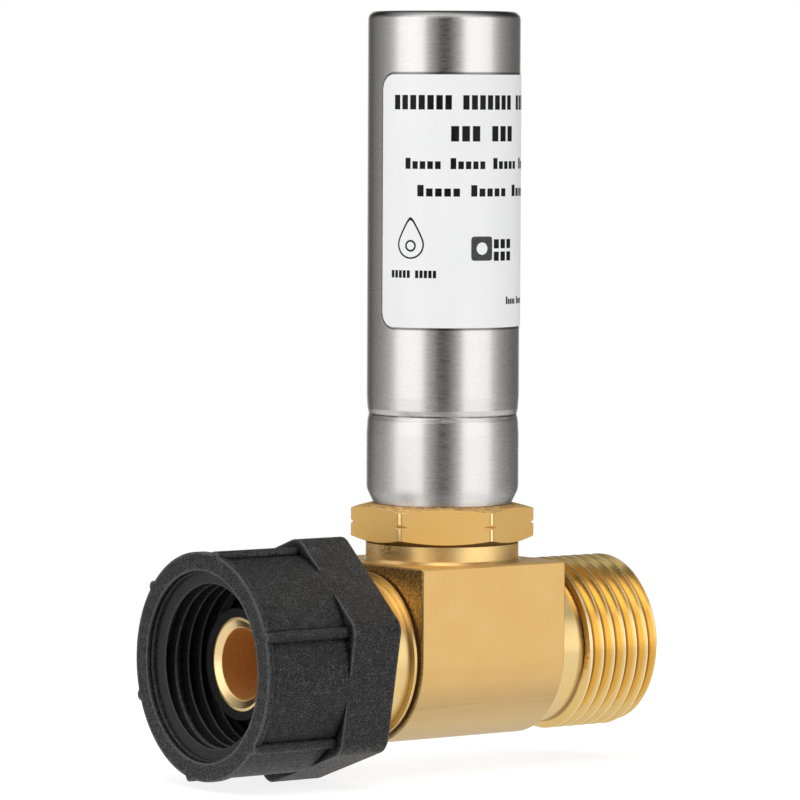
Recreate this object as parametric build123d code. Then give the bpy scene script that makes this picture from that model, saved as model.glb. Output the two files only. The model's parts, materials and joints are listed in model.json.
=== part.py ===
from build123d import *
import math
import os

os.makedirs("parts", exist_ok=True)

# A tee with a swivel hose nut on its inlet, a hose thread on its outlet and an
# air chamber with a sliding piston on its branch. Millimetres throughout.
# X runs from the inlet to the outlet, Z runs up the branch to the chamber.
# The origin is on the run axis, where the inlet thread starts.

# Hose thread, 3/4 inch with 11.5 threads to the inch, drawn smooth at its major diameters
male_thread_dia = 26.92
female_thread_dia = 27.2
thread_runout = 0.3         # the nut's bore is this much wider behind its first turns

# Swivel nut, moulded
nut_length = 24.12
nut_body_dia = 33.9
nut_lip_dia = 34.7
nut_lip_length = 1.1
nut_lip_ramp = 0.45
nut_flange_length = 8.96
nut_flats = 33.8            # across the flats of its hexagon
nut_corner_radius = 2.8
nut_corner_turn = 19.2      # degrees, first hexagon corner from the front towards the top
nut_rib_count = 6
nut_rib_width = 1.8
nut_rib_height = 1.0        # over the nut's body
nut_mouth_dia = 29.0
nut_mouth_step_dia = 28.3
nut_mouth_step = 0.7        # depth of the first step inside the mouth
nut_mouth_depth = 2.15      # mouth to the start of the thread
nut_lead_length = 0.55      # cone that leads into the thread
nut_web = 4.77              # wall behind the washer seat
nut_edge = 0.35             # broken outer edge of the rear face
nut_play = 0.23             # end play of the nut, each way
nut_radial_play = 0.1

# Inlet tailpiece, turned
spout_dia = 14.3
spout_length = 8.5          # beyond the washer seat
spout_bore_dia = 11.0
spout_countersink = 1.2     # radial width of the chamfer in the spout's mouth
spout_countersink_depth = 0.6
seat_dia = 24.4
seat_thickness = 3.57
neck_dia = 19.6
shank_dia = 17.0
shank_length = 6.2

# Inlet washer, moulded rubber with a sleeve round the spout
washer_inset = 0.1          # the washer's edge stands this far inside the seat's
washer_thickness = 2.4
sleeve_dia = 17.0
sleeve_lead = 0.2           # the sleeve stands this far beyond the spout's tip
washer_gap = 0.05
thread_to_sleeve = 0.4      # clear length between the stated thread wall and the sleeve

# Tee, forged and machined
boss_reach = 21.1           # branch axis to the inlet boss's face
boss_dia = 24.0
collar_dia = 25.8
collar_width = 0.5
collar_gap = 0.4
block_inlet_reach = 14.1    # branch axis to the block's inlet face
block_outlet_reach = 13.7
block_width = 27.2
block_top = 14.1
block_edge = 0.25
outlet_length = 18.95
outlet_neck_dia = 24.6
outlet_neck_length = 4.8
outlet_relief_width = 0.25  # fine groove at the neck's end
outlet_relief_depth = 0.15
outlet_shoulder = 0.2       # length of the steep shoulder up to the thread
outlet_end_chamfer = 0.55
outlet_bore_dia = 16.0
outlet_bore_depth = 22.0
run_bore_dia = 13.0
top_boss_wall = 1.15        # round the O-ring's gland
top_boss_height = 2.95
top_boss_edge = 0.2         # broken edge under the hexagon
top_boss_foot = 0.45        # small flare where the boss meets the block
branch_socket_dia = 18.0
branch_socket_depth = 8.0
branch_bore_dia = 11.0

# Hexagon adapter, turned from hexagon bar
spigot_gap = 0.05
spigot_length = 7.6
hex_flats = 24.8
hex_height = 5.9
hex_corner_turn = 25.1      # degrees, first corner from the outlet side
hex_corner_strip = 0.6      # width of the strip turned on each corner
hex_top_margin = 0.2        # flat ring round the chamber's foot
hex_top_slope = 14.5        # degrees, the cone that takes off the corners' tops
hex_bottom_slope = 19.0
hex_notch_depth = 0.45
hex_notch_height = 0.65
adapter_bore_dia = 10.0
plug_height = 17.55         # adapter's plug inside the chamber
plug_gap = 0.05

# O-rings
adapter_seal_cord = 1.7
chamber_seal_cord = 2.0
piston_seal_cord = 2.0
seal_gap = 0.05             # between a ring and the walls that it runs on
chamber_seal_height = 8.95  # above the hexagon's top
piston_seal_inset = 3.2     # ring centre from each end of the piston

# Chamber, deep drawn stainless steel
chamber_dia = 23.6
chamber_wall = 0.6
chamber_length = 75.92
chamber_top_round = 1.3
crimp_height = 2.85
crimp_radius = 2.6
crimp_angle = 26.0          # degrees from the chamber's side
groove_height = 13.8        # above the hexagon's top
groove_depth = 0.34
groove_round = 0.25
groove_lip_depth = 0.12     # drawn in this far where the groove's own walls start
groove_lip_reach = 0.9      # from the groove's bottom, up and down
groove_lip_round = 1.0
draw_in_reach = 2.9         # the tube is drawn in from this far above and below
draw_in_round = 4.0

# Piston, moulded
piston_gap = 0.12
piston_length = 16.0
piston_cup_dia = 14.0
piston_cup_depth = 9.0
piston_edge = 0.5
ring_groove_slack = 0.2

# Label, plastic film
label_bottom = 27.5         # above the hexagon's top
label_height = 38.7
label_half_angle = 89.0
label_thickness = 0.12
label_corner_radius = 2.4

# Places along the run
nut_mouth_x = -nut_mouth_depth
nut_rear_x = nut_length - nut_mouth_depth
nut_shoulder_x = nut_rear_x - nut_web
seat_rear_x = nut_shoulder_x - nut_play
seat_face_x = seat_rear_x - seat_thickness
spout_tip_x = seat_face_x - spout_length
sleeve_tip_x = spout_tip_x - sleeve_lead
runout_x = sleeve_tip_x - thread_to_sleeve
boss_face_x = nut_rear_x + nut_play
branch_x = boss_face_x + boss_reach
block_inlet_x = branch_x - block_inlet_reach
block_outlet_x = branch_x + block_outlet_reach
neck_end_x = block_outlet_x + outlet_neck_length
outlet_end_x = block_outlet_x + outlet_length
shank_end_x = boss_face_x + shank_length
flange_x = nut_rear_x - nut_flange_length

# Places up the branch
hex_bottom_z = block_top + top_boss_height
hex_top_z = hex_bottom_z + hex_height
plug_top_z = hex_top_z + plug_height
chamber_top_z = hex_top_z + chamber_length
groove_z = hex_top_z + groove_height
chamber_seal_z = hex_top_z + chamber_seal_height
piston_top_z = plug_top_z + piston_length
label_z = hex_top_z + label_bottom

overshoot = 1               # how far a cutting tool runs past the face that it opens
chamber_bore_radius = chamber_dia / 2 - chamber_wall
gland_radius = branch_socket_dia / 2 + adapter_seal_cord
top_boss_radius = gland_radius + top_boss_wall
run_axis = Axis((0, 0, 0), (1, 0, 0))
branch_origin = Location((branch_x, 0, 0))


def turned_on_run(points):
    """Solid of revolution about the run axis, from (x, radius) points."""
    with BuildPart() as turned:
        with BuildSketch(Plane.XY):
            with BuildLine():
                Polyline(points, close=True)
            make_face()
        revolve(axis=run_axis)
    return turned.part


def turned_on_branch(outline):
    """Solid of revolution about the branch axis, from a closed outline of (radius, z)."""
    with BuildPart() as turned:
        with BuildSketch(Plane.XZ):
            add(outline)
        revolve(axis=Axis.Z)
    return branch_origin * turned.part


def closed_outline(points):
    """Face inside straight lines through (radius, z) points."""
    with BuildSketch() as sketch:
        with BuildLine():
            Polyline(points, close=True)
        make_face()
    return sketch.sketch


def rod_on_run(radius, start_x, end_x):
    """Plain cylinder on the run axis."""
    return turned_on_run([(start_x, 0), (start_x, radius), (end_x, radius), (end_x, 0)])


def rod_on_branch(radius, start_z, end_z):
    """Plain cylinder on the branch axis."""
    points = [(0, start_z), (radius, start_z), (radius, end_z), (0, end_z)]
    return turned_on_branch(closed_outline(points))


def ring_on_branch(inner_radius, outer_radius, start_z, end_z):
    """Plain ring on the branch axis."""
    points = [(inner_radius, start_z), (outer_radius, start_z), (outer_radius, end_z), (inner_radius, end_z)]
    return turned_on_branch(closed_outline(points))


def o_ring(inner_radius, cord, centre_z):
    """O-ring on the branch axis."""
    ring = Torus(inner_radius + cord / 2, cord / 2)
    return Location((branch_x, 0, centre_z)) * ring


def hexagon(flats, first_corner, rounding):
    """Hexagon sketch with rounded corners; its first corner is turned by first_corner degrees."""
    with BuildSketch() as sketch:
        RegularPolygon(flats / 2, 6, major_radius=False, rotation=first_corner)
        fillet(sketch.vertices(), rounding)
    return sketch.sketch


def chamber_side(inset):
    """The chamber's side line from its crimped foot to above the groove, moved in by inset."""
    radius = chamber_dia / 2 - inset
    angle = math.radians(crimp_angle)
    bend_height = crimp_radius * math.sin(angle)
    bend_in = crimp_radius * (1 - math.cos(angle))
    foot_height = crimp_height - bend_height
    foot_in = bend_in + foot_height * math.tan(angle)
    foot = (radius - foot_in, hex_top_z)
    bend_corner = (radius, hex_top_z + crimp_height - crimp_radius * math.tan(angle / 2))
    below = (radius, groove_z - draw_in_reach)
    lower_lip = (radius - groove_lip_depth, groove_z - groove_lip_reach)
    waist = (radius - groove_depth, groove_z)
    upper_lip = (radius - groove_lip_depth, groove_z + groove_lip_reach)
    above = (radius, groove_z + draw_in_reach)
    return [foot, bend_corner, below, lower_lip, waist, upper_lip, above]


def side_rounds():
    """Radii at the inner corners of the chamber's side line."""
    drawn_in = [draw_in_round, groove_lip_round]
    return [crimp_radius] + drawn_in + [groove_round] + drawn_in[::-1]


def make_tee_body():
    half = block_width / 2
    with BuildPart() as block:
        with BuildSketch(Plane.YZ.offset(block_inlet_x)):
            with BuildLine():
                Line((half, 0), (half, block_top))
                Line((half, block_top), (-half, block_top))
                Line((-half, block_top), (-half, 0))
                RadiusArc((-half, 0), (half, 0), -half)
            make_face()
        extrude(amount=block_outlet_x - block_inlet_x)
        chamfer(block.edges(), block_edge)
    boss = turned_on_run([
        (boss_face_x, 0),
        (boss_face_x, boss_dia / 2 - block_edge),
        (boss_face_x + block_edge, boss_dia / 2),
        (block_inlet_x - collar_gap - collar_width, boss_dia / 2),
        (block_inlet_x - collar_gap - collar_width, collar_dia / 2),
        (block_inlet_x - collar_gap, collar_dia / 2),
        (block_inlet_x - collar_gap, boss_dia / 2),
        (branch_x, boss_dia / 2),
        (branch_x, 0),
    ])
    thread_radius = male_thread_dia / 2
    outlet = turned_on_run([
        (branch_x, 0),
        (branch_x, outlet_neck_dia / 2),
        (neck_end_x - outlet_relief_width, outlet_neck_dia / 2),
        (neck_end_x - outlet_relief_width, outlet_neck_dia / 2 - outlet_relief_depth),
        (neck_end_x, outlet_neck_dia / 2 - outlet_relief_depth),
        (neck_end_x + outlet_shoulder, thread_radius),
        (outlet_end_x - outlet_end_chamfer, thread_radius),
        (outlet_end_x, thread_radius - outlet_end_chamfer),
        (outlet_end_x, 0),
    ])
    top_boss = turned_on_branch(closed_outline([
        (0, 0),
        (top_boss_radius + top_boss_foot, 0),
        (top_boss_radius + top_boss_foot, block_top),
        (top_boss_radius, block_top + top_boss_foot),
        (top_boss_radius, hex_bottom_z - top_boss_edge),
        (top_boss_radius - top_boss_edge, hex_bottom_z),
        (0, hex_bottom_z),
    ]))
    body = block.part + boss + outlet + top_boss
    bore_end_x = outlet_end_x - outlet_bore_depth
    socket_floor_z = hex_bottom_z - branch_socket_depth
    gland_floor_z = hex_bottom_z - adapter_seal_cord - seal_gap
    past_top_z = hex_bottom_z + overshoot
    body -= rod_on_run(shank_dia / 2, boss_face_x - overshoot, shank_end_x)
    body -= rod_on_run(run_bore_dia / 2, shank_end_x - overshoot, bore_end_x + overshoot)
    body -= rod_on_run(outlet_bore_dia / 2, bore_end_x, outlet_end_x + overshoot)
    body -= rod_on_branch(branch_bore_dia / 2, 0, past_top_z)
    body -= rod_on_branch(branch_socket_dia / 2, socket_floor_z, past_top_z)
    body -= rod_on_branch(gland_radius, gland_floor_z, past_top_z)
    return body


def make_inlet_tailpiece():
    bore = spout_bore_dia / 2
    return turned_on_run([
        (spout_tip_x, bore + spout_countersink),
        (spout_tip_x, spout_dia / 2),
        (seat_face_x, spout_dia / 2),
        (seat_face_x, seat_dia / 2),
        (seat_rear_x, seat_dia / 2),
        (seat_rear_x, neck_dia / 2),
        (boss_face_x, neck_dia / 2),
        (boss_face_x, shank_dia / 2),
        (shank_end_x, shank_dia / 2),
        (shank_end_x, bore),
        (spout_tip_x + spout_countersink_depth, bore),
    ])


def make_inlet_washer():
    hole = spout_dia / 2 + washer_gap
    flange_radius = seat_dia / 2 - washer_inset
    flange_x_start = seat_face_x - washer_thickness
    return turned_on_run([
        (sleeve_tip_x, hole),
        (sleeve_tip_x, sleeve_dia / 2),
        (flange_x_start, sleeve_dia / 2),
        (flange_x_start, flange_radius),
        (seat_face_x, flange_radius),
        (seat_face_x, hole),
    ])


def make_swivel_nut():
    body_radius = nut_body_dia / 2
    lip_radius = nut_lip_dia / 2
    lip_end_x = nut_mouth_x + nut_lip_length
    shell = turned_on_run([
        (nut_mouth_x, 0),
        (nut_mouth_x, lip_radius),
        (lip_end_x, lip_radius),
        (lip_end_x + nut_lip_ramp, body_radius),
        (flange_x + nut_flange_length / 2, body_radius),
        (flange_x + nut_flange_length / 2, 0),
    ])
    hex_plane = Plane(origin=(flange_x, 0, 0), x_dir=(0, -1, 0), z_dir=(-1, 0, 0))
    with BuildPart() as flange:
        with BuildSketch(hex_plane):
            add(hexagon(nut_flats, nut_corner_turn, nut_corner_radius))
        extrude(amount=-nut_flange_length)
        chamfer(flange.edges().group_by(Axis.X)[-1], nut_edge)
    with BuildPart() as rib:
        with BuildSketch(hex_plane):
            with Locations((body_radius + nut_rib_height - nut_rib_width / 2, 0)):
                Circle(nut_rib_width / 2)
            with Locations((body_radius + nut_rib_height - nut_rib_width, 0)):
                Rectangle(nut_rib_width, nut_rib_width)
        extrude(amount=flange_x - nut_mouth_x)
    nut = shell + flange.part
    for index in range(nut_rib_count):
        nut += Rot(-nut_corner_turn - index * 360 / nut_rib_count, 0, 0) * rib.part
    thread_radius = female_thread_dia / 2
    nut -= turned_on_run([
        (nut_mouth_x - overshoot, 0),
        (nut_mouth_x - overshoot, nut_mouth_dia / 2),
        (nut_mouth_x + nut_mouth_step, nut_mouth_dia / 2),
        (nut_mouth_x + nut_mouth_step, nut_mouth_step_dia / 2),
        (-nut_lead_length, nut_mouth_step_dia / 2),
        (0, thread_radius),
        (runout_x, thread_radius),
        (runout_x, thread_radius + thread_runout),
        (nut_shoulder_x, thread_radius + thread_runout),
        (nut_shoulder_x, neck_dia / 2 + nut_radial_play),
        (nut_rear_x + overshoot, neck_dia / 2 + nut_radial_play),
        (nut_rear_x + overshoot, 0),
    ])
    return nut


def make_hex_adapter():
    flats_radius = hex_flats / 2
    half_side = flats_radius * math.tan(math.radians(30))
    strip_on_side = hex_corner_strip / 2 / math.cos(math.radians(30))
    corner_radius = math.hypot(flats_radius, half_side - strip_on_side)
    top_land = chamber_side(0)[0][0] + hex_top_margin
    bottom_land = top_boss_radius
    top_drop = (corner_radius - top_land) * math.tan(math.radians(hex_top_slope))
    bottom_rise = (corner_radius - bottom_land) * math.tan(math.radians(hex_bottom_slope))
    middle_z = (hex_bottom_z + bottom_rise + hex_top_z - top_drop) / 2
    with BuildPart() as bar:
        with BuildSketch(Plane.XY.offset(hex_bottom_z)):
            RegularPolygon(flats_radius, 6, major_radius=False, rotation=hex_corner_turn)
        extrude(amount=hex_height)
    envelope = turned_on_branch(closed_outline([
        (0, hex_bottom_z),
        (bottom_land, hex_bottom_z),
        (corner_radius, hex_bottom_z + bottom_rise),
        (corner_radius, middle_z - hex_notch_height / 2),
        (corner_radius - hex_notch_depth, middle_z),
        (corner_radius, middle_z + hex_notch_height / 2),
        (corner_radius, hex_top_z - top_drop),
        (top_land, hex_top_z),
        (0, hex_top_z),
    ]))
    head = (branch_origin * bar.part) & envelope
    spigot_radius = branch_socket_dia / 2 - spigot_gap
    spigot_end_z = hex_bottom_z - spigot_length
    spigot = rod_on_branch(spigot_radius, spigot_end_z, hex_bottom_z + overshoot)
    inset = chamber_wall + plug_gap
    side = chamber_side(inset)
    plug_radius = chamber_dia / 2 - inset
    with BuildSketch() as plug_outline:
        with BuildLine():
            FilletPolyline(side + [(plug_radius, plug_top_z)], radius=side_rounds())
            Polyline((plug_radius, plug_top_z), (0, plug_top_z), (0, hex_top_z), side[0])
        make_face()
    plug = turned_on_branch(plug_outline.sketch)
    adapter = head + spigot + plug
    adapter -= rod_on_branch(adapter_bore_dia / 2, spigot_end_z - overshoot, plug_top_z + overshoot)
    ring_inner = chamber_bore_radius - seal_gap - chamber_seal_cord
    half_groove = chamber_seal_cord / 2 + ring_groove_slack
    groove_start_z = chamber_seal_z - half_groove
    groove_end_z = chamber_seal_z + half_groove
    adapter -= ring_on_branch(ring_inner - seal_gap, plug_radius + overshoot, groove_start_z, groove_end_z)
    return adapter


def make_chamber():
    outer = chamber_side(0)
    inner = chamber_side(chamber_wall)
    outer_radius = chamber_dia / 2
    inner_radius = chamber_bore_radius
    inner_top = chamber_top_z - chamber_wall
    inner_round = chamber_top_round - chamber_wall
    with BuildSketch() as section:
        with BuildLine():
            FilletPolyline(
                outer + [(outer_radius, chamber_top_z), (0, chamber_top_z)],
                radius=side_rounds() + [chamber_top_round])
            Line((0, chamber_top_z), (0, inner_top))
            FilletPolyline(
                inner + [(inner_radius, inner_top), (0, inner_top)],
                radius=side_rounds() + [inner_round])
            Line(inner[0], outer[0])
        make_face()
    return turned_on_branch(section.sketch)


def piston_ring_heights():
    return [plug_top_z + piston_seal_inset, piston_top_z - piston_seal_inset]


def make_piston():
    radius = chamber_bore_radius - piston_gap
    body = turned_on_branch(closed_outline([
        (0, plug_top_z),
        (radius - piston_edge, plug_top_z),
        (radius, plug_top_z + piston_edge),
        (radius, piston_top_z - piston_edge),
        (radius - piston_edge, piston_top_z),
        (piston_cup_dia / 2, piston_top_z),
        (piston_cup_dia / 2, piston_top_z - piston_cup_depth),
        (0, piston_top_z - piston_cup_depth),
    ]))
    ring_inner = chamber_bore_radius - seal_gap - piston_seal_cord
    half_groove = piston_seal_cord / 2 + ring_groove_slack
    for height in piston_ring_heights():
        groove_start_z = height - half_groove
        groove_end_z = height + half_groove
        body -= ring_on_branch(ring_inner - seal_gap, radius + overshoot, groove_start_z, groove_end_z)
    return body


def make_piston_ring(height):
    return o_ring(chamber_bore_radius - seal_gap - piston_seal_cord, piston_seal_cord, height)


def make_adapter_seal():
    inner = branch_socket_dia / 2 - spigot_gap + seal_gap
    centre_z = hex_bottom_z - (adapter_seal_cord + seal_gap) / 2
    return o_ring(inner, adapter_seal_cord - seal_gap, centre_z)


def make_chamber_seal():
    return o_ring(chamber_bore_radius - seal_gap - chamber_seal_cord, chamber_seal_cord, chamber_seal_z)


def make_label():
    inner = chamber_dia / 2
    outer = inner + label_thickness
    with BuildPart() as film:
        with BuildSketch(Plane.XZ):
            with Locations(((inner + outer) / 2, label_z + label_height / 2)):
                Rectangle(label_thickness, label_height)
        revolve(axis=Axis.Z, revolution_arc=2 * label_half_angle)
    middle = film.part.center()
    turn = -90 - math.degrees(math.atan2(middle.Y, middle.X))
    sheet = Rot(0, 0, turn) * film.part
    corner_angle = label_half_angle - math.degrees(math.asin(label_corner_radius / outer))
    waste = 2 * label_corner_radius
    for side in (-1, 1):
        direction = math.radians(-90 + side * corner_angle)
        outwards = Vector(math.cos(direction), math.sin(direction), 0)
        sideways = Vector(0, 0, 1).cross(outwards) * side
        for end in (-1, 1):
            centre_z = label_z + label_height / 2 + end * (label_height / 2 - label_corner_radius)
            corner_plane = Plane(
                origin=outwards * outer + Vector(0, 0, centre_z), x_dir=sideways, z_dir=outwards)
            up = end * corner_plane.y_dir.Z
            with BuildPart() as cutter:
                with BuildSketch(corner_plane):
                    with Locations((waste / 2, up * waste / 2)):
                        Rectangle(waste, waste)
                    Circle(label_corner_radius, mode=Mode.SUBTRACT)
                extrude(amount=label_corner_radius, both=True)
            sheet -= cutter.part
    return branch_origin * sheet


upper_ring_z = piston_ring_heights()[1]
lower_ring_z = piston_ring_heights()[0]

sub_parts = {
    "tee_body": make_tee_body(),
    "inlet_tailpiece": make_inlet_tailpiece(),
    "inlet_washer": make_inlet_washer(),
    "swivel_nut": make_swivel_nut(),
    "hex_adapter": make_hex_adapter(),
    "adapter_seal": make_adapter_seal(),
    "chamber_seal": make_chamber_seal(),
    "chamber_shell": make_chamber(),
    "piston": make_piston(),
    "piston_ring_upper": make_piston_ring(upper_ring_z),
    "piston_ring_lower": make_piston_ring(lower_ring_z),
    "label": make_label(),
}

for name, shape in sub_parts.items():
    export_step(shape, f"parts/{name}.step")
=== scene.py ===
"""A water hammer arrestor: a brass tee with a black swivel nut, and a steel air chamber on its branch.

Metres throughout. X runs from the inlet to the outlet, Z up the branch, and the label faces -Y.
"""

import json
import math
from collections import namedtuple

import bpy
from mathutils import Matrix, Vector


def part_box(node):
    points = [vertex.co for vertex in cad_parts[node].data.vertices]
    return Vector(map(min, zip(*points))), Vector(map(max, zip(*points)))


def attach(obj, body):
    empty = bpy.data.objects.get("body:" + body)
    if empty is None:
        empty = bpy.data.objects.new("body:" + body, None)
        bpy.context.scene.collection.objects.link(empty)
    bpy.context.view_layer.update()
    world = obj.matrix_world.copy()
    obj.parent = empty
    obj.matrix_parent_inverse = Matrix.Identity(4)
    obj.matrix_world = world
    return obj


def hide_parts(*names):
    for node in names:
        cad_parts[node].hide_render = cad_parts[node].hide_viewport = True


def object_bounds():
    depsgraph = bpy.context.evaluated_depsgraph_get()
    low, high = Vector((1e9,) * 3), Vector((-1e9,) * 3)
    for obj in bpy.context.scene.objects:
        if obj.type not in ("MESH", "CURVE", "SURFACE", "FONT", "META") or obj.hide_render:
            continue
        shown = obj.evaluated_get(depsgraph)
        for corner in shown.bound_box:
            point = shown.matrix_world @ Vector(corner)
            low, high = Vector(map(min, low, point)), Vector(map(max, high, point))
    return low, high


MM = 0.001
FULL_TURN = 2 * math.pi

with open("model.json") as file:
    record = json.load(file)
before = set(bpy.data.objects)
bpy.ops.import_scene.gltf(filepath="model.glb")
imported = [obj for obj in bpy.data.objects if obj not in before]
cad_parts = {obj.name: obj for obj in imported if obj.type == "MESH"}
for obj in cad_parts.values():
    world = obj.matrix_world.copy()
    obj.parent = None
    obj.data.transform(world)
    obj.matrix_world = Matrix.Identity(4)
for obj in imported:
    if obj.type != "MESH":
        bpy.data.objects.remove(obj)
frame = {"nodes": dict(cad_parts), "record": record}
cad_low, cad_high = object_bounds()
nodes = frame["nodes"]
mounts = {mount["name"]: mount for mount in frame["record"]["mounts"]}

# Camera, at the photograph's viewing angle
CAMERA_PLACE = Vector((-474.929, -676.221, 86.787)) * MM
CAMERA_AZIMUTH = math.radians(37.02)
CAMERA_PITCH = math.radians(-3.224)
CAMERA_ROLL = math.radians(0.245)
CAMERA_LENS = 247.87
CAMERA_SENSOR = 36.0
CAMERA_NEAR = 0.05
CAMERA_FAR = 20

# Places that the model gives
chamber_low, chamber_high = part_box("chamber_shell")
label_low, label_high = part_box("label")
branch_x = (chamber_low.x + chamber_high.x) / 2
hexagon_top_z = chamber_low.z
label_radius = -label_low.y
label_middle_z = (label_low.z + label_high.z) / 2
label_half_height = (label_high.z - label_low.z) / 2
outlet_end_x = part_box("tee_body")[1].x
sleeve_end_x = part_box("inlet_washer")[0].x
outlet_wall_radius = mounts["outlet_thread"]["dims"]["r_mm"] * MM
inlet_wall_radius = mounts["inlet_thread"]["dims"]["r_mm"] * MM

# Meshes
MERGE_WITHIN = 0.0002 * MM
TEE_SMOOTH_ANGLE = 25
RING_SMOOTH_ANGLE = 30

# Hose thread; a groove's first place is where its middle crosses the +Y side
THREAD_PITCH = 25.4 / 11.5 * MM
THREAD_STEPS = 96
THREAD_OVERCUT = 0.12 * MM
MALE_CREST_RADIUS = outlet_wall_radius
MALE_ROOT_RADIUS = 12.1 * MM
MALE_FIRST_GROOVE = 60.34 * MM
MALE_CREST_FLAT = 0.25 * MM
MALE_ROOT_FLAT = 0.38 * MM
MALE_FADE = (0.34, 0.60)
FEMALE_CREST_RADIUS = 12.5 * MM
FEMALE_ROOT_RADIUS = inlet_wall_radius + 0.1 * MM
FEMALE_FIRST_GROOVE = -1.31 * MM
FEMALE_CREST_FLAT = 0.22 * MM
FEMALE_ROOT_FLAT = 0.45 * MM
FEMALE_FADE = (0.45, 1.15)
FEMALE_TURNS = 5

# Ring inside the nut that carries the female thread, with its shoulder and lead-in
SHOULDER_X = -0.58 * MM
SHOULDER_RADIUS = 14.14 * MM
SHOULDER_BACK = 0.1 * MM
SHOULDER_SUNK = 0.2 * MM
LEAD_X = -0.11 * MM
BURIED_RADIUS = inlet_wall_radius + 0.35 * MM
RING_END_X = sleeve_end_x + 5.6 * MM

# Tee, as machined, and how its finishes are told apart
BLOCK_INLET_X = branch_x - 14.1 * MM
BLOCK_OUTLET_X = branch_x + 13.7 * MM
BLOCK_TOP_Z = 14.1 * MM
BLOCK_MARGIN = 0.1 * MM
TOP_MARGIN = 0.02 * MM
BORE_LIMIT = 10.5 * MM
LEVEL_NORMAL = 0.9
SATIN_SLOT = 0
TURNED_SLOT = 1
STAINED_SLOT = 2

# Marks on the tee, the hexagon and the chamber
SCUFF_Z = -7.0 * MM
SMUDGE_PLACE = (branch_x - 10.2 * MM, -1.5 * MM, 16.4 * MM)
FIRST_CORNER_TURN = math.radians(25.1)
HALF_FLAT_TURN = math.radians(30)
GROOVE_Z = hexagon_top_z + 13.8 * MM
FOOT_UPRIGHT = 0.2

# Label
LABEL_HALF_TURN = math.radians(89)
LABEL_CORNER = 2.4 * MM

# Print, laid flat in millimetres: along the film from its middle, and up from its foot
PRINT_THICKNESS = 0.012 * MM
BLOCK_FILL = 0.72
SMALL_BLOCK = 0.7
BLOCK_CUTS = 2
# Left, right, low, high, blocks in each group, and how tall all but a group's first block are
PRINT_ROWS = [
    (-15.9, 15.9, 33.35, 35.55, (7, 7, 7), 1),
    (-6.7, 5.3, 28.5, 30.85, (3, 3), 1),
    (-13.9, 13.5, 24.29, 25.97, (5, 5, 5, 5), SMALL_BLOCK),
    (-11.9, 11.9, 20.1, 21.85, (5, 5, 5), SMALL_BLOCK),
    (-16.4, -8.7, 7.64, 8.79, (5, 5), 1),
    (3.4, 9.6, 3.56, 4.71, (5, 5), SMALL_BLOCK),
    (0.6, 4.9, 12.15, 13.55, (3,), 1),
    (0.6, 4.9, 10.25, 11.65, (3,), 1),
]
DROP_MIDDLE = (-13.0, 12.75)
DROP_RADII = (2.2, 1.95)
DROP_PINCH = 0.35
DROP_PEAK = 0.9
DROP_STEPS = 56
CIRCLE_MIDDLE = (-13.0, 12.55)
CIRCLE_RADII = (0.9, 0.62)
CIRCLE_STEPS = 40
SQUARE_MIDDLE = (-1.6, 12.15)
SQUARE_HALF = 1.85
SQUARE_POWER = 9
SQUARE_HOLE_RADIUS = 0.95
SQUARE_STEPS = 96

# Bands over which a finish changes, from where the change starts to where it ends
UNDERSIDE = (-2 * MM, -12 * MM)
INLET_FACE_TOP = (-2 * MM, BLOCK_TOP_Z)
INLET_FACE_FOOT = (-2 * MM, -11 * MM)
INLET_CORNER = (BLOCK_INLET_X + 0.17 * MM, BLOCK_INLET_X + 0.2 * MM)
FROM_SCUFF = (0.2 * MM, 3.4 * MM)
FROM_SMUDGE = (0.8 * MM, 3.0 * MM)
BOSS_END = (BLOCK_INLET_X, BLOCK_INLET_X + MM)
NECK_END = (MALE_FIRST_GROOVE + 0.3 * MM, MALE_FIRST_GROOVE + 0.7 * MM)
MALE_SKIN = (MALE_ROOT_RADIUS - 0.3 * MM, MALE_ROOT_RADIUS - 0.1 * MM)
MALE_ROOT = (MALE_ROOT_RADIUS + 0.1 * MM, MALE_ROOT_RADIUS + 0.4 * MM)
MALE_CREST = (MALE_CREST_RADIUS - 0.06 * MM, MALE_CREST_RADIUS - 0.02 * MM)
FEMALE_CREST = (FEMALE_CREST_RADIUS + 0.02 * MM, FEMALE_CREST_RADIUS + 0.14 * MM)
LEAD_END = (-0.1 * MM, 0.0)
SPOUT_BORE = (5.55 * MM, 5.7 * MM)
CORNER_STRIP = (14.09 * MM, 14.12 * MM)
STRIP_MIDDLE = (0.17 * MM, 0.24 * MM)
STRIP_SIDES = (0.2 * MM, 0.26 * MM)
CONE = (11.0 * MM, 14.0 * MM)
CHAMBER_JOINT = (10.8 * MM, 11.0 * MM)
HEXAGON_FOOT = (hexagon_top_z - 4.0 * MM, hexagon_top_z - 4.4 * MM)
CHAMBER_FOOT = (hexagon_top_z + 2.8 * MM, hexagon_top_z + 3.6 * MM)
BESIDE_GROOVE = (0.3 * MM, 1.1 * MM)
IN_GROOVE = (0.04 * MM, 0.22 * MM)
LABEL_SHADOW_BAND = (LABEL_CORNER + 0.26 * MM, LABEL_CORNER + 0.46 * MM)

# Floor: its size, how bright the camera sees it, and how bright its reflection is
FLOOR_RADIUS = 0.2
FLOOR_SIDES = 96
FLOOR_Z = cad_low.z
FLOOR_GREY = (0.3, 0.3, 0.3, 1)
FLOOR_SEEN = 0.84
FRONT_SECTOR = (math.radians(8), math.radians(32))
FRONT_GLOW = (0.05, 0.6)
UNDER_OBJECT = (40 * MM, 80 * MM)
UNDER_GLOW = 0.6


def take_up(piece):
    """Makes one object the only selected and the active one."""
    bpy.ops.object.select_all(action="DESELECT")
    piece.select_set(True)
    bpy.context.view_layer.objects.active = piece


def apply_modifiers(piece):
    take_up(piece)
    for modifier in list(piece.modifiers):
        bpy.ops.object.modifier_apply(modifier=modifier.name)


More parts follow.
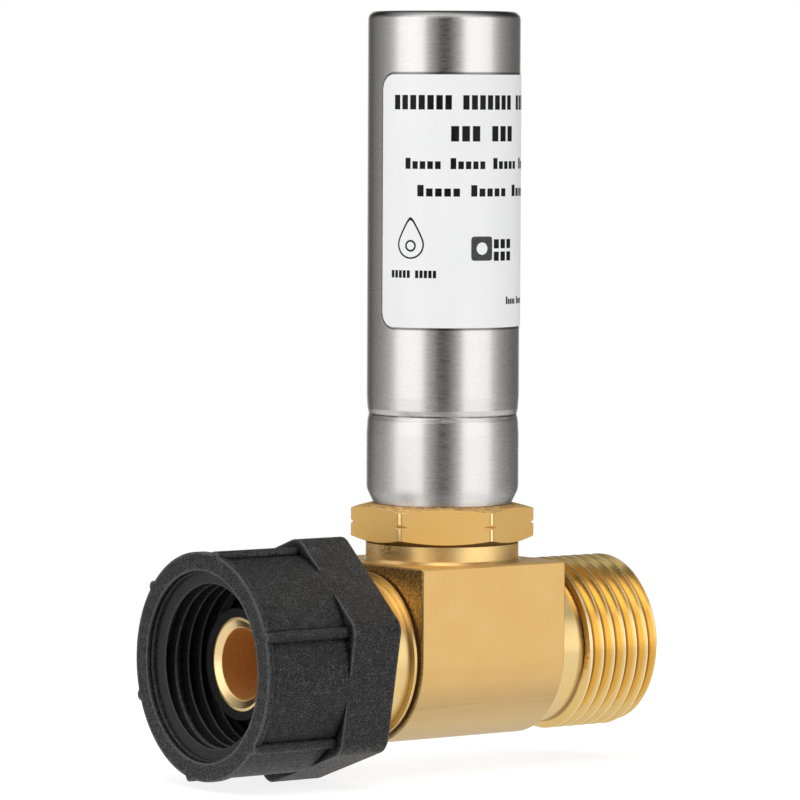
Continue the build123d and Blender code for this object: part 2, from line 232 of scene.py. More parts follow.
def close_and_face_outwards(piece):
    """Merges doubles, caps open ends and turns every face outwards."""
    take_up(piece)
    bpy.ops.object.mode_set(mode="EDIT")
    bpy.ops.mesh.select_all(action="SELECT")
    bpy.ops.mesh.remove_doubles(threshold=MERGE_WITHIN)
    bpy.ops.mesh.fill_holes(sides=0)
    bpy.ops.mesh.select_all(action="SELECT")
    bpy.ops.mesh.normals_make_consistent(inside=False)
    bpy.ops.object.mode_set(mode="OBJECT")


def smooth_to(piece, degrees):
    """Smooth shading, with edges sharper than so many degrees kept."""
    take_up(piece)
    bpy.ops.object.shade_smooth_by_angle(angle=math.radians(degrees))
    weighted = piece.modifiers.new("even normals", "WEIGHTED_NORMAL")
    weighted.keep_sharp = True
    apply_modifiers(piece)


def eased(value, start, end):
    """0 before start, 1 after end, and a smooth rise between."""
    share = min(max((value - start) / (end - start), 0), 1)
    return share * share * (3 - 2 * share)


def section(name, outline):
    """A closed loop in the XY plane, through (x, radius) points."""
    bpy.ops.object.select_all(action="DESELECT")
    bpy.ops.mesh.primitive_circle_add(vertices=len(outline), radius=MM)
    loop = bpy.context.object
    loop.name = name
    for vertex, (x, radius) in zip(loop.data.vertices, outline):
        vertex.co = (x, radius, 0)
    return loop


def wind(loop, pitch, turns):
    """Winds a section about the run axis, to a ring for pitch 0 and to a helix otherwise."""
    screw = loop.modifiers.new("wind", "SCREW")
    screw.axis = "X"
    screw.angle = FULL_TURN
    screw.screw_offset = pitch
    screw.iterations = turns
    screw.steps = THREAD_STEPS
    screw.render_steps = THREAD_STEPS
    screw.use_merge_vertices = pitch == 0
    apply_modifiers(loop)
    return loop


def cut(piece, tool):
    """Takes the tool's solid out of the piece, and the tool away."""
    boolean = piece.modifiers.new("cut", "BOOLEAN")
    boolean.operation = "DIFFERENCE"
    boolean.solver = "EXACT"
    boolean.object = tool
    apply_modifiers(piece)
    bpy.data.objects.remove(tool)


def thread_tool(name, first_x, turns, root_radius, root_flat, crest_radius, crest_flat, fade):
    """A helical V that cuts one hose thread, and comes into the metal over the turns in fade."""
    depth = abs(crest_radius - root_radius)
    outwards = math.copysign(1, crest_radius - root_radius)
    clear = depth + THREAD_OVERCUT
    mouth_radius = crest_radius + outwards * THREAD_OVERCUT
    mouth_width = root_flat + (THREAD_PITCH - crest_flat - root_flat) / depth * clear
    outline = [
        (first_x - root_flat / 2, root_radius),
        (first_x + root_flat / 2, root_radius),
        (first_x + mouth_width / 2, mouth_radius),
        (first_x - mouth_width / 2, mouth_radius),
    ]
    tool = wind(section(name, outline), THREAD_PITCH, turns)
    for index, vertex in enumerate(tool.data.vertices):
        turn = index // len(outline) / THREAD_STEPS
        radius = math.hypot(vertex.co.y, vertex.co.z)
        moved = radius + outwards * clear * (1 - eased(turn, *fade))
        vertex.co.y *= moved / radius
        vertex.co.z *= moved / radius
    close_and_face_outwards(tool)
    return tool


def merged_copy(node, name):
    """A new piece from a node's triangles, joined at their corners."""
    piece = bpy.data.objects.new(name, nodes[node].data.copy())
    bpy.context.scene.collection.objects.link(piece)
    take_up(piece)
    bpy.ops.mesh.customdata_custom_splitnormals_clear()
    close_and_face_outwards(piece)
    return piece


def make_tee():
    """The brass tee with its real outlet thread."""
    tee = merged_copy("tee_body", "tee_body_threaded")
    turns = math.ceil((outlet_end_x - MALE_FIRST_GROOVE) / THREAD_PITCH) + 1
    tool = thread_tool(
        "outlet_thread_tool", MALE_FIRST_GROOVE, turns, MALE_ROOT_RADIUS, MALE_ROOT_FLAT,
        MALE_CREST_RADIUS, MALE_CREST_FLAT, MALE_FADE)
    cut(tee, tool)
    smooth_to(tee, TEE_SMOOTH_ANGLE)
    return tee


def make_inlet_thread():
    """The female thread in the nut's mouth, with the plain shoulder where it starts."""
    ring = wind(section("inlet_thread", [
        (SHOULDER_X, SHOULDER_RADIUS),
        (LEAD_X, FEMALE_CREST_RADIUS),
        (RING_END_X, FEMALE_CREST_RADIUS),
        (RING_END_X, BURIED_RADIUS),
        (LEAD_X, BURIED_RADIUS),
        (SHOULDER_X + SHOULDER_BACK, SHOULDER_RADIUS + SHOULDER_SUNK),
    ]), 0, 1)
    close_and_face_outwards(ring)
    tool = thread_tool(
        "inlet_thread_tool", FEMALE_FIRST_GROOVE, FEMALE_TURNS, FEMALE_ROOT_RADIUS, FEMALE_ROOT_FLAT,
        FEMALE_CREST_RADIUS, FEMALE_CREST_FLAT, FEMALE_FADE)
    cut(ring, tool)
    smooth_to(ring, RING_SMOOTH_ANGLE)
    return ring


def face_forwards(sheet):
    """Turns flat print to face -Y, the way the label looks."""
    if sum(face.area * face.normal.y for face in sheet.data.polygons) > 0:
        sheet.data.flip_normals()


def start_sheet(name):
    """An empty mesh, open in edit mode, that flat print is added to."""
    bpy.ops.object.select_all(action="DESELECT")
    sheet = bpy.data.objects.new(name, bpy.data.meshes.new(name))
    bpy.context.scene.collection.objects.link(sheet)
    take_up(sheet)
    bpy.ops.object.mode_set(mode="EDIT")
    return sheet


def print_block(left, right, low, high):
    """One plain block of ink, cut so that it can follow the round film."""
    centre = Vector(((left + right) / 2, 0, (low + high) / 2)) * MM
    size = Vector((right - left, 0, high - low)) * MM
    bpy.ops.mesh.select_all(action="DESELECT")
    bpy.ops.mesh.primitive_plane_add(size=1, location=centre, rotation=(math.pi / 2, 0, 0))
    bpy.ops.transform.resize(value=(size.x, 1, size.z), center_override=centre)
    bpy.ops.mesh.subdivide(number_cuts=BLOCK_CUTS)


def print_row(left, right, low, high, groups, rest_height):
    """Groups of so many blocks; all but the first of a group stand to rest_height of the row."""
    step = (right - left) / (sum(groups) + len(groups) - 1)
    start = left
    for count in groups:
        for index in range(count):
            top = low + (high - low) * (rest_height if index else 1)
            print_block(start, start + step * BLOCK_FILL, low, top)
            start += step
        start += step


def print_ring(name, outer, inner, steps):
    """A flat band of ink between two closed lines, each a function of the angle."""
    bpy.ops.object.select_all(action="DESELECT")
    bpy.ops.mesh.primitive_grid_add(x_subdivisions=steps, y_subdivisions=3, size=1)
    ring = bpy.context.object
    ring.name = name
    for vertex in ring.data.vertices:
        angle = (vertex.co.x + 0.5) * FULL_TURN
        share = vertex.co.y + 0.5
        point = outer(angle) * (1 - share) + inner(angle) * share
        vertex.co = (point.x * MM, 0, point.y * MM)
    take_up(ring)
    bpy.ops.object.mode_set(mode="EDIT")
    bpy.ops.mesh.select_all(action="SELECT")
    bpy.ops.mesh.remove_doubles(threshold=MERGE_WITHIN)
    bpy.ops.object.mode_set(mode="OBJECT")
    face_forwards(ring)
    return ring


def lay_on_film(sheet):
    """Rolls flat print onto the film and gives it its thickness."""
    for vertex in sheet.data.vertices:
        angle = vertex.co.x / label_radius
        vertex.co.x = branch_x + label_radius * math.sin(angle)
        vertex.co.y = -label_radius * math.cos(angle)
        vertex.co.z += label_low.z
    ink = sheet.modifiers.new("ink", "SOLIDIFY")
    ink.thickness = PRINT_THICKNESS
    ink.offset = 1
    apply_modifiers(sheet)


def circle_line(centre_x, centre_z, radius):
    return lambda angle: Vector((centre_x + radius * math.cos(angle), centre_z + radius * math.sin(angle)))


def drop_line(centre_x, centre_z, radius):
    """A water drop, round below and drawn to a point above."""
    def place(angle):
        pull = max(math.sin(angle), 0) ** 3
        across = radius * math.cos(angle) * (1 - DROP_PINCH * pull)
        up = radius * (math.sin(angle) + DROP_PEAK * pull)
        return Vector((centre_x + across, centre_z + up))
    return place


def square_line(centre_x, centre_z, half):
    """A square with rounded corners."""
    def place(angle):
        way = Vector((math.cos(angle), math.sin(angle)))
        corner = abs(way.x) ** SQUARE_POWER + abs(way.y) ** SQUARE_POWER
        return Vector((centre_x, centre_z)) + way * (half / corner ** (1 / SQUARE_POWER))
    return place


def make_print():
    """Rows of plain blocks, a water drop with a circle in it, and a grey square with a round hole."""
    dark = start_sheet("label_print")
    for row in PRINT_ROWS:
        print_row(*row)
    bpy.ops.object.mode_set(mode="OBJECT")
    face_forwards(dark)
    drop = print_ring("drop", *(drop_line(*DROP_MIDDLE, radius) for radius in DROP_RADII), DROP_STEPS)
    circle = print_ring(
        "circle", *(circle_line(*CIRCLE_MIDDLE, radius) for radius in CIRCLE_RADII), CIRCLE_STEPS)
    for extra in (drop, circle):
        take_up(dark)
        extra.select_set(True)
        bpy.ops.object.join()
    grey = print_ring(
        "label_print_square", square_line(*SQUARE_MIDDLE, SQUARE_HALF),
        circle_line(*SQUARE_MIDDLE, SQUARE_HOLE_RADIUS), SQUARE_STEPS)
    for sheet in (dark, grey):
        lay_on_film(sheet)
    return dark, grey


def make_camera():
    data = bpy.data.cameras.new("camera")
    data.lens = CAMERA_LENS
    data.sensor_width = CAMERA_SENSOR
    data.clip_start = CAMERA_NEAR
    data.clip_end = CAMERA_FAR
    camera = bpy.data.objects.new("camera", data)
    bpy.context.scene.collection.objects.link(camera)
    turn = Matrix.Rotation(-CAMERA_AZIMUTH, 4, "Z")
    tip = Matrix.Rotation(math.pi / 2 + CAMERA_PITCH, 4, "X")
    roll = Matrix.Rotation(CAMERA_ROLL, 4, "Z")
    camera.matrix_world = Matrix.Translation(CAMERA_PLACE) @ turn @ tip @ roll
    bpy.context.scene.camera = camera


def wire(tree, source, target):
    """Links a socket to another, or sets the other to a plain value."""
    if isinstance(source, bpy.types.NodeSocket):
        tree.links.new(source, target)
    else:
        target.default_value = source


def calculate(tree, operation, *values):
    """A maths node, or a row of them where there are more than two values."""
    if len(values) > 2:
        values = (calculate(tree, operation, *values[:-1]), values[-1])
    node = tree.nodes.new("ShaderNodeMath")
    node.operation = operation
    for value, socket in zip(values, node.inputs):
        wire(tree, value, socket)
    return node.outputs[0]


def combine(tree, operation, first, second):
    """A vector maths node; gives its vector and its value."""
    node = tree.nodes.new("ShaderNodeVectorMath")
    node.operation = operation
    wire(tree, first, node.inputs[0])
    wire(tree, second, node.inputs[1])
    return node.outputs[0], node.outputs[1]


def parts_of(tree, vector):
    """The x, y and z of a vector."""
    node = tree.nodes.new("ShaderNodeSeparateXYZ")
    wire(tree, vector, node.inputs[0])
    return node.outputs


def facing(tree):
    """The x, y and z of the surface's normal."""
    surface = tree.nodes.new("ShaderNodeNewGeometry")
    return parts_of(tree, surface.outputs["Normal"])


def from_axis(tree, vector, across):
    """Distance from an axis through the centre; across is 0 along the axis and 1 both ways off it."""
    flat, _ = combine(tree, "MULTIPLY", vector, across)
    return combine(tree, "DISTANCE", flat, (0, 0, 0))[1]


def how_far(tree, value, place):
    """How far a value is from a place, to either side."""
    return calculate(tree, "ABSOLUTE", calculate(tree, "SUBTRACT", value, place))


def spread(tree, value, from_low, from_high, to_low, to_high):
    """Maps one range of a value to another, and stops at its ends."""
    node = tree.nodes.new("ShaderNodeMapRange")
    for source, name in (
            (value, "Value"), (from_low, "From Min"), (from_high, "From Max"),
            (to_low, "To Min"), (to_high, "To Max")):
        wire(tree, source, node.inputs[name])
    return node.outputs["Result"]


def mixed_colour(tree, factor, first, second):
    """The first colour where the factor is 0, and the second where it is 1."""
    node = tree.nodes.new("ShaderNodeMix")
    node.data_type = "RGBA"
    colours = [socket for socket in node.inputs if socket.type == "RGBA"]
    wire(tree, factor, node.inputs[0])
    wire(tree, first, colours[0])
    wire(tree, second, colours[1])
    return [socket for socket in node.outputs if socket.type == "RGBA"][0]


def noise(tree, vector, size, detail, distortion=0.0):
    node = tree.nodes.new("ShaderNodeTexNoise")
    wire(tree, vector, node.inputs["Vector"])
    wire(tree, size, node.inputs["Scale"])
    wire(tree, detail, node.inputs["Detail"])
    wire(tree, distortion, node.inputs["Distortion"])
    return node.outputs[0]


# What the shared effects take of their noise, bevel or openness, and how many times they look
NOISE_RANGE = (0.3, 0.7)
TURNING_DRIFT = 60.0
EDGE_RANGE = (0.995, 0.85)
EDGE_SAMPLES = 6
OPEN_RANGE = (0.4, 0.85)
OPEN_SAMPLES = 4
HIGHLIGHT_RANGE = (0.95, 0.7)
HIGHLIGHT_SAMPLES = 6
MOTTLE_BARE = 0.62
MOTTLE_REACH = 0.3
MOTTLE_SOFTNESS = 0.16


def open_group(name, inputs, outputs):
    """A shader node group with named sockets; gives the group, its start and its end."""
    group = bpy.data.node_groups.new(name, "ShaderNodeTree")
    for label, kind in inputs:
        group.interface.new_socket(name=label, in_out="INPUT", socket_type="NodeSocket" + kind)
    for label, kind in outputs:
        group.interface.new_socket(name=label, in_out="OUTPUT", socket_type="NodeSocket" + kind)
    return group, group.nodes.new("NodeGroupInput"), group.nodes.new("NodeGroupOutput")


def make_grain_group():
    """Noise with Scale grains a metre along each axis, from -1 to 1."""
    group, start, end = open_group(
        "grain", [("Vector", "Vector"), ("Scale", "Vector"), ("Detail", "Float")], [("Value", "Float")])
    stretched, _ = combine(group, "MULTIPLY", start.outputs["Vector"], start.outputs["Scale"])
    cloud = noise(group, stretched, 1.0, start.outputs["Detail"])
    wire(group, spread(group, cloud, *NOISE_RANGE, -1, 1), end.inputs["Value"])
    return group


def make_turning_group():
    """Marks of the lathe round the local Z axis, from -1 to 1."""
    group, start, end = open_group(
        "turning marks", [("Vector", "Vector"), ("Fineness", "Float")], [("Value", "Float")])
    across, _, along = parts_of(group, start.outputs["Vector"])
    radius = from_axis(group, start.outputs["Vector"], (1, 1, 0))
    rings = group.nodes.new("ShaderNodeCombineXYZ")
    wire(group, calculate(group, "MULTIPLY", radius, start.outputs["Fineness"]), rings.inputs[0])
    wire(group, calculate(group, "MULTIPLY", along, start.outputs["Fineness"]), rings.inputs[1])
    wire(group, calculate(group, "MULTIPLY", across, TURNING_DRIFT), rings.inputs[2])
    marks = noise(group, rings.outputs[0], 1.0, 3.0)
    wire(group, spread(group, marks, *NOISE_RANGE, -1, 1), end.inputs["Value"])
    return group


def make_edge_group():
    """A softened normal at every edge, and a mask of where the edges are."""
    group, start, end = open_group(
        "soft edge", [("Radius", "Float")], [("Normal", "Vector"), ("Edge", "Float")])
    bevel = group.nodes.new("ShaderNodeBevel")
    bevel.samples = EDGE_SAMPLES
    wire(group, start.outputs["Radius"], bevel.inputs["Radius"])
    surface = group.nodes.new("ShaderNodeNewGeometry")
    _, alike = combine(group, "DOT_PRODUCT", bevel.outputs["Normal"], surface.outputs["Normal"])
    wire(group, bevel.outputs["Normal"], end.inputs["Normal"])
    wire(group, spread(group, alike, *EDGE_RANGE, 0, 1), end.inputs["Edge"])
    return group


def make_open_group():
    """1 where the surface is open, falling to 0 in creases and corners."""
    group, start, end = open_group("open surface", [("Distance", "Float")], [("Open", "Float")])
    outside = group.nodes.new("ShaderNodeAmbientOcclusion")
    outside.samples = OPEN_SAMPLES
    outside.only_local = True
    wire(group, start.outputs["Distance"], outside.inputs["Distance"])
    wire(group, spread(group, outside.outputs["AO"], *OPEN_RANGE, 0, 1), end.inputs["Open"])
    return group


def make_highlight_group():
    """1 on outer edges and ribs, where a highlight is painted, falling to 0 on flat and hollow places."""
    group, start, end = open_group("worn edge", [("Distance", "Float")], [("Highlit", "Float")])
    depth = group.nodes.new("ShaderNodeAmbientOcclusion")
    depth.samples = HIGHLIGHT_SAMPLES
    depth.inside = True
    depth.only_local = True
    wire(group, start.outputs["Distance"], depth.inputs["Distance"])
    wire(group, spread(group, depth.outputs["AO"], *HIGHLIGHT_RANGE, 0, 1), end.inputs["Highlit"])
    return group


def make_mottle_group():
    """Soft blotches of about Size, from 0 to 1, with Cover of the surface taken."""
    group, start, end = open_group(
        "mottle", [("Vector", "Vector"), ("Size", "Float"), ("Cover", "Float")], [("Value", "Float")])
    finer = calculate(group, "DIVIDE", 1.0, start.outputs["Size"])
    cloud = noise(group, start.outputs["Vector"], finer, 5.0, 0.6)
    taken = calculate(group, "MULTIPLY", start.outputs["Cover"], MOTTLE_REACH)
    low = calculate(group, "SUBTRACT", MOTTLE_BARE, taken)
    high = calculate(group, "ADD", low, MOTTLE_SOFTNESS)
    wire(group, spread(group, cloud, low, high, 0, 1), end.inputs["Value"])
    return group


GRAIN = make_grain_group()
TURNING = make_turning_group()
SOFT_EDGE = make_edge_group()
OPEN_SURFACE = make_open_group()
EDGE_HIGHLIGHT = make_highlight_group()
MOTTLE = make_mottle_group()


def place_group(tree, group, **values):
    """Puts a shared group in a material with its own values, and gives the group's node."""
    node = tree.nodes.new("ShaderNodeGroup")
    node.node_tree = group
    for name, value in values.items():
        wire(tree, value, node.inputs[name])
    return node


def about(tree, vector, centre, turn=(0, 0, 0)):
    """Coordinates that are centred on a place and turned, so that an axis becomes local Z."""
    mapping = tree.nodes.new("ShaderNodeMapping")
    mapping.vector_type = "TEXTURE"
    mapping.inputs["Location"].default_value = centre
    mapping.inputs["Rotation"].default_value = turn
    wire(tree, vector, mapping.inputs["Vector"])
    return mapping.outputs["Vector"]


def grain(tree, place, across, upward=None, detail=2.0):
    """Noise from -1 to 1: so many grains a metre, and another number upward where it is stretched."""
    scale = (across, across, upward or across)
    return place_group(tree, GRAIN, Vector=place, Scale=scale, Detail=detail).outputs["Value"]


def turning(tree, place, fineness, centre=(0, 0, 0), turn=(0, 0, 0)):
    """Marks of the lathe, from -1 to 1, so many a metre."""
    own = about(tree, place, centre, turn)
    return place_group(tree, TURNING, Vector=own, Fineness=fineness).outputs["Value"]


def mottle(tree, place, size, cover):
    return place_group(tree, MOTTLE, Vector=place, Size=size, Cover=cover).outputs["Value"]


def soft_edge(tree, radius):
    """The normal, softened at edges, and the mask of the edges."""
    node = place_group(tree, SOFT_EDGE, Radius=radius)
    return node.outputs["Normal"], node.outputs["Edge"]


def creases(tree, distance, most, full_at=0.0):
    """A mask for painted shade, that rises to most in creases and corners, and is full at that openness
    and below.
    """
    clear = place_group(tree, OPEN_SURFACE, Distance=distance).outputs["Open"]
    return spread(tree, clear, full_at, 1, most, 0)


def start_material(name, metallic=0.0, **plain):
    """A material, with its Principled shader and the object's own coordinates."""
    finish = bpy.data.materials.new(name)
    finish.use_nodes = True
    tree = finish.node_tree
    shader = tree.nodes["Principled BSDF"]
    shader.inputs["Metallic"].default_value = metallic
    for socket, value in plain.items():
        shader.inputs[socket.replace("_", " ")].default_value = value
    place = tree.nodes.new("ShaderNodeTexCoord")
    return finish, tree, shader, place.outputs["Object"]


def bumped(tree, height, distance, normal):
    bump = tree.nodes.new("ShaderNodeBump")
    bump.inputs["Distance"].default_value = distance
    wire(tree, height, bump.inputs["Height"])
    wire(tree, normal, bump.inputs["Normal"])
    return bump.outputs["Normal"]


def end_material(tree, shader, colour, roughness, normal=None):
    """Wires what was worked out to the shader."""
    wire(tree, colour, shader.inputs["Base Color"])
    wire(tree, roughness, shader.inputs["Roughness"])
    if normal:
        wire(tree, normal, shader.inputs["Normal"])


ACROSS_RUN = (0, 1, 1)
ACROSS_BRANCH = (1, 1, 0)
RUN_TURN = (0, math.pi / 2, 0)
BRANCH_CENTRE = (branch_x, 0, 0)

# Of each finish: how far edges look rounded, depth of its grain, and its least and most roughness
Finish = namedtuple("Finish", "edge depth smooth dull")
SATIN = Finish(0.07 * MM, 0.004 * MM, 0.41, 0.51)
TURNED = Finish(0.06 * MM, 0.0009 * MM, 0.18, 0.27)
STAINED = Finish(0.06 * MM, 0.0025 * MM, 0.4, 0.5)
HEXAGON = Finish(0.08 * MM, 0.002 * MM, 0.26, 0.7)
TAILPIECE = Finish(0.06 * MM, 0.003 * MM, 0.24, 0.56)
STEEL = Finish(0.08 * MM, 0.0006 * MM, 0.25, 0.33)
CHARCOAL = Finish(0.15 * MM, 0.05 * MM, 0.34, 0.52)
THREAD = Finish(0.02 * MM, 0.03 * MM, 0.36, 0.6)
RUBBER = Finish(0.12 * MM, 0.006 * MM, 0.6, 0.75)
MOULDED = Finish(0.15 * MM, 0.01 * MM, 0.36, 0.44)
FILM = Finish(0.05 * MM, 0.012 * MM, 0.42, 0.5)
INK_ROUGHNESS = (0.42, 0.55)

# Grains or lathe marks a metre that more than one finish has
FINE = 5200
COARSER = 4200

# How near two walls are in a crease that is given painted shade, with grime on the brass, and how far in
# from the nut's edges its painted highlight reaches
BLOCK_CREASE = 0.8 * MM
TURNED_CREASE = 0.5 * MM
HEXAGON_CREASE = 0.2 * MM
NUT_CREASE = 0.8 * MM
NUT_HIGHLIGHT_REACH = 0.5 * MM

# Size of the soft blotches on a finish
CONE_BLOTCH = 0.9 * MM
BORE_BLOTCH = 0.6 * MM
RUBBER_BLOTCH = 1.4 * MM
INK_BLOTCH = 0.4 * MM

BRASS = (0.80, 0.50, 0.18, 1)
# Also the painted highlight on edges and on the hexagon's corner strips
BRASS_LIGHT = (0.90, 0.67, 0.34, 1)
# Painted highlight on the thread's crests
BRASS_BRIGHT = (1.0, 0.78, 0.46, 1)
BRASS_YELLOW = (0.90, 0.645, 0.245, 1)
BRASS_AMBER = (0.92, 0.625, 0.22, 1)
BRASS_WARM = (0.98, 0.655, 0.25, 1)
BRASS_WARM_LIGHT = (0.98, 0.71, 0.33, 1)
# Painted bounce light in the tailpiece's bore
BRASS_ORANGE = (1.0, 0.68, 0.29, 1)
BRASS_RED = (1.0, 0.60, 0.23, 1)
# Painted light on the block's underside
BRASS_PALE = (0.74, 0.57, 0.31, 1)
# Painted reflection on the hexagon's cones
BRASS_REFLECTED_BROWN = (0.38, 0.19, 0.08, 1)
# Painted shade in roots and creases, and beside the hexagon's corner strips
BRASS_BROWN = (0.30, 0.155, 0.06, 1)
# Marks, and the painted shade of creases and of the block's inlet side
BRASS_DARK = (0.16, 0.085, 0.03, 1)
# Painted shade: the dark line along the block's edges
BRASS_EDGE_SHADE = (0.09, 0.045, 0.015, 1)
BRASS_SHADOW = (0.05, 0.03, 0.015, 1)
STEEL_DULL = (0.625, 0.612, 0.60, 1)
STEEL_BRIGHT = (0.74, 0.725, 0.71, 1)
STEEL_SCRAPED = (0.86, 0.85, 0.84, 1)
# Painted shade and shadow on the steel
STEEL_DARK = (0.1, 0.095, 0.09, 1)
# Also the nut's painted crease shade
LIGHTLESS = (0.0003, 0.0003, 0.0003, 1)
CHARCOAL_FLECK = (0.066, 0.066, 0.068, 1)
# Painted highlight on the nut's edges
CHARCOAL_HIGHLIGHT = (0.115, 0.115, 0.12, 1)
# Painted shade and highlight in the nut's mouth
THREAD_BLACK = (0.0008, 0.0008, 0.0008, 1)
THREAD_GREY = (0.03, 0.03, 0.031, 1)
THREAD_HIGHLIGHT = (0.12, 0.12, 0.12, 1)
RUBBER_BLACK = (0.003, 0.003, 0.003, 1)
RUBBER_DUSTY = (0.016, 0.015, 0.014, 1)
IVORY_DULL = (0.76, 0.75, 0.70, 1)
IVORY = (0.84, 0.83, 0.79, 1)
FILM_WHITE = (0.92, 0.92, 0.925, 1)
FILM_BRIGHT = (0.95, 0.95, 0.95, 1)
FILM_EDGE_SHADE = (0.35, 0.35, 0.36, 1)
BLACK_INK = ((0.001, 0.001, 0.001, 1), (0.008, 0.008, 0.008, 1))
GREY_INK = ((0.05, 0.05, 0.052, 1), (0.075, 0.075, 0.078, 1))


def satin_brass():
    """Milled flats of the tee, clean in front and on top and speckled on the inlet side: painted shade
    darkens that side, less so low down, and the creases, which hold grime too; painted light makes the
    underside paler; a painted dark line with bright flecks runs along the edges.
    """
    finish, tree, shader, place = start_material("satin brass", 1.0)
    along, _, height = parts_of(tree, place)
    facing_x, _, _ = facing(tree)
    normal, edge = soft_edge(tree, SATIN.edge)
    fine = grain(tree, place, FINE)
    flecks = grain(tree, place, 4600)

    tone = spread(tree, grain(tree, place, 260), -1, 1, 0.02, 0.2)
    # Painted light: the block turns paler towards its underside
    under = spread(tree, height, *UNDERSIDE, 0, 1)
    clean = mixed_colour(tree, under, mixed_colour(tree, tone, BRASS, BRASS_LIGHT), BRASS_PALE)

    # Painted shade: the inlet side is painted darker brown, less so low down, with speckles on it; creases
    # get painted shade with grime
    inlet_side = spread(tree, facing_x, -0.6, -0.9, 0, 1)
    less_shade_low = spread(tree, height, *INLET_FACE_FOOT, 1, 0.4)
    near_top = spread(tree, height, *INLET_FACE_TOP, 0.12, 1)
    coarse = calculate(tree, "MULTIPLY", flecks, near_top, 0.75)
    darkened = calculate(tree, "MULTIPLY", inlet_side, calculate(tree, "ADD", coarse, 0.6), less_shade_low)
    near_scuff = spread(tree, how_far(tree, height, SCUFF_Z), *FROM_SCUFF, 0.2, 0)
    streak = spread(tree, grain(tree, place, 110, 2800, 3.0), -1, 1, 0.7, 1.2)
    marked = calculate(tree, "ADD", darkened, calculate(tree, "MULTIPLY", near_scuff, streak))
    marks_and_painted_shade = calculate(tree, "MAXIMUM", marked, creases(tree, BLOCK_CREASE, 0.75))
    colour = mixed_colour(tree, marks_and_painted_shade, clean, BRASS_DARK)

    # Painted shade and glints: a dark line with bright flecks along the edges and the inlet corner
    painted_edge_line = mixed_colour(tree, spread(tree, flecks, 0.1, 0.8, 0, 1), BRASS_EDGE_SHADE, BRASS_AMBER)
    broken = calculate(tree, "SUBTRACT", spread(tree, facing_x, -0.15, -0.35, 0, 1), inlet_side)
    outermost = spread(tree, along, *INLET_CORNER, 1, 0.2)
    at_edge = calculate(tree, "MAXIMUM", calculate(tree, "MULTIPLY", broken, outermost), edge)
    shown = mixed_colour(tree, at_edge, colour, painted_edge_line)
    roughness = spread(tree, fine, -1, 1, SATIN.smooth, SATIN.dull)
    end_material(tree, shader, shown, roughness, bumped(tree, fine, SATIN.depth, normal))
    return finish


def turned_brass():
    """Lathe-turned brass of the boss, neck and thread, with painted highlights on the crests and edges,
    and painted shade in the roots and in creases, which hold grime too.
    """
    finish, tree, shader, place = start_material("turned brass", 1.0)
    along, _, _ = parts_of(tree, place)
    radius = from_axis(tree, place, ACROSS_RUN)
    normal, edge = soft_edge(tree, TURNED.edge)
    marks = turning(tree, place, FINE, turn=RUN_TURN)
    fine = grain(tree, place, FINE)

    past_neck = spread(tree, along, *NECK_END, 0, 1)
    outside = spread(tree, radius, *MALE_SKIN, 0, 1)
    on_thread = calculate(tree, "MULTIPLY", past_neck, outside)
    tone = spread(tree, grain(tree, place, 420, detail=3.0), -1, 1, 0.15, 0.85)
    paler = calculate(tree, "MULTIPLY", tone, spread(tree, on_thread, 0, 1, 1, 0.1))
    clean = mixed_colour(tree, paler, BRASS_YELLOW, BRASS_LIGHT)
    # Painted shade, with grime, in creases
    darkened = mixed_colour(tree, creases(tree, TURNED_CREASE, 0.6), clean, BRASS_BROWN)

    # Painted shade in the thread's roots, and painted highlight on its crests and edges
    in_root = spread(tree, radius, *MALE_ROOT, 0.8, 0)
    rooted = mixed_colour(tree, calculate(tree, "MULTIPLY", in_root, on_thread), darkened, BRASS_BROWN)
    on_crest = spread(tree, radius, *MALE_CREST, 0, 1)
    bright = calculate(tree, "MULTIPLY", on_crest, on_thread)
    crested = mixed_colour(tree, bright, rooted, BRASS_BRIGHT)
    shown = mixed_colour(tree, edge, crested, BRASS_LIGHT)
    duller = spread(tree, along, *BOSS_END, 0.12, 0)
    roughness = calculate(tree, "ADD", spread(tree, marks, -1, 1, TURNED.smooth, TURNED.dull), duller)
    relief = calculate(tree, "ADD", marks, calculate(tree, "MULTIPLY", fine, 0.4))
    end_material(tree, shader, shown, roughness, bumped(tree, relief, TURNED.depth, normal))
    return finish


def stained_brass():
    """The turned top boss, with a speckled brown smudge on its inlet side, painted shade in creases, which
    hold grime too, and painted highlights on its edges.
    """
    finish, tree, shader, place = start_material("stained brass", 1.0)
    normal, edge = soft_edge(tree, STAINED.edge)
    marks = turning(tree, place, COARSER, BRANCH_CENTRE)
    flecks = grain(tree, place, 3600)
    dashes = grain(tree, place, 1300, 4600)
    cloud = grain(tree, place, 700, detail=3.0)

    _, from_smudge = combine(tree, "DISTANCE", place, SMUDGE_PLACE)
    smudge = spread(tree, from_smudge, *FROM_SMUDGE, 1, 0)
    speckled = calculate(tree, "MULTIPLY", smudge, spread(tree, dashes, -0.6, 0.4, 0.1, 1))
    elsewhere = spread(tree, calculate(tree, "ADD", flecks, cloud), 0.8, 1.8, 0, 0.3)
    clean = mixed_colour(tree, spread(tree, cloud, -1, 1, 0, 1), BRASS_WARM, BRASS_WARM_LIGHT)
    # Painted shade, with grime, in creases, and a painted highlight on the edges
    marks_and_painted_shade = calculate(tree, "MAXIMUM", speckled, elsewhere, creases(tree, TURNED_CREASE, 0.5))
    darkened = mixed_colour(tree, marks_and_painted_shade, clean, BRASS_DARK)
    shown = mixed_colour(tree, edge, darkened, BRASS_LIGHT)
    roughness = spread(tree, smudge, 0, 1, STAINED.smooth, STAINED.dull)
    end_material(tree, shader, shown, roughness, bumped(tree, marks, STAINED.depth, normal))
    return finish


